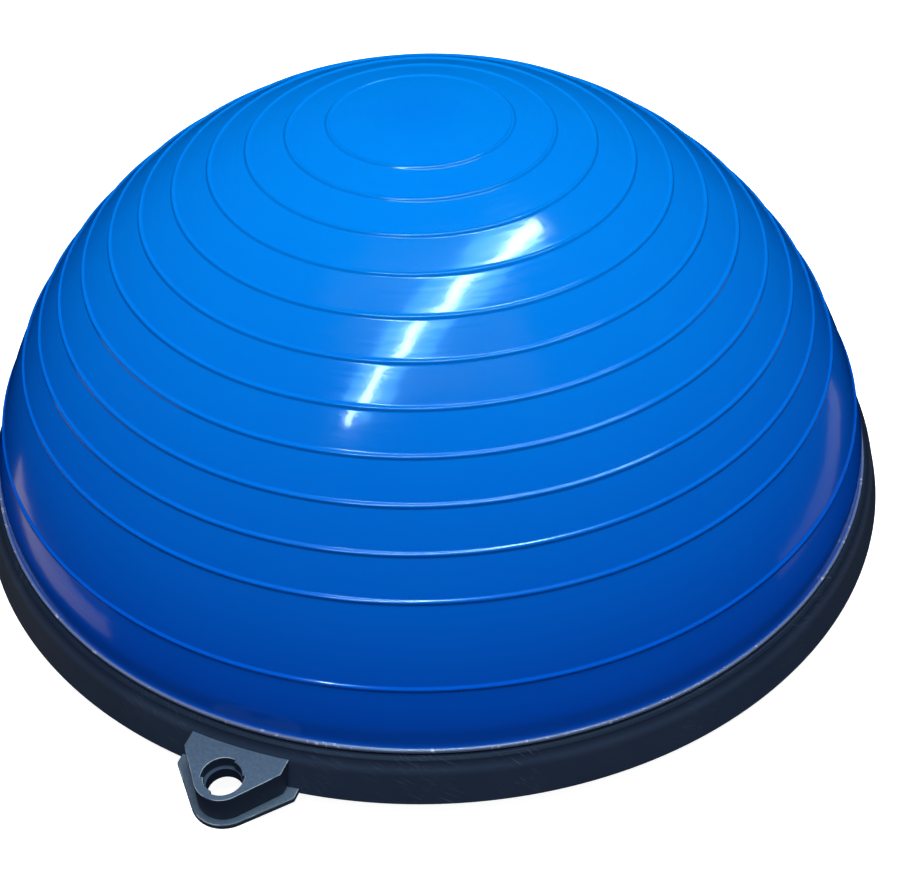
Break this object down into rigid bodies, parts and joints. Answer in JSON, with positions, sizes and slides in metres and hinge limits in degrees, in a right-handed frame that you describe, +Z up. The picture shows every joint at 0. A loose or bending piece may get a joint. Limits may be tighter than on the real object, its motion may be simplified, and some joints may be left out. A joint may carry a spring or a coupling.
{
  "type": "balance dome trainer",
  "caption": "Air-filled rubber-like half dome clamped on a rigid round base with side lugs, for standing balance and core exercises.",
  "frame": {"origin": "on the floor, at the middle of the base", "axes": "+Z up through the crown of the dome; +Y and -Y out through the two band lugs; +X and -X through the two hand grips underneath"},
  "size_m": [0.6, 0.6662, 0.2654],
  "materials": {
    "dome_vinyl": "glossy blue soft vinyl",
    "floor_vinyl": "satin blue soft vinyl",
    "ring_plastic": "fine-grained matte moulding",
    "pan_plastic": "fine-grained matte moulding",
    "foot_rubber": "matte",
    "screw_steel": "zinc plated",
    "plug_plastic": "satin"
  },
  "bodies": {
    "base": {"base_pan": "pan_plastic", "clamp_ring": "ring_plastic", "bladder_floor": "floor_vinyl", "valve_seat": "floor_vinyl", "foot_1": "foot_rubber", "foot_2": "foot_rubber", "foot_3": "foot_rubber", "foot_4": "foot_rubber", "foot_5": "foot_rubber", "foot_6": "foot_rubber", "foot_7": "foot_rubber", "foot_8": "foot_rubber", "screw_1": "screw_steel", "screw_2": "screw_steel", "screw_3": "screw_steel", "screw_4": "screw_steel", "screw_5": "screw_steel", "screw_6": "screw_steel", "screw_7": "screw_steel", "screw_8": "screw_steel", "screw_9": "screw_steel", "screw_10": "screw_steel", "screw_11": "screw_steel", "screw_12": "screw_steel"},
    "dome": {"dome_shell": "dome_vinyl"},
    "plug": {"air_plug": "plug_plastic"}
  },
  "joints": [
    {"name": "dome_press", "type": "slide", "parent": "base", "child": "dome", "axis": [0, 0, -1], "range_m": [0, 0.06], "stiffness_N_per_m": 12000, "springref_m": -0.004, "deforming": ["dome_shell"]},
    {"name": "plug_pull", "type": "slide", "parent": "base", "child": "plug", "axis": [0, 0, -1], "range_m": [0, 0.02]}
  ]
}
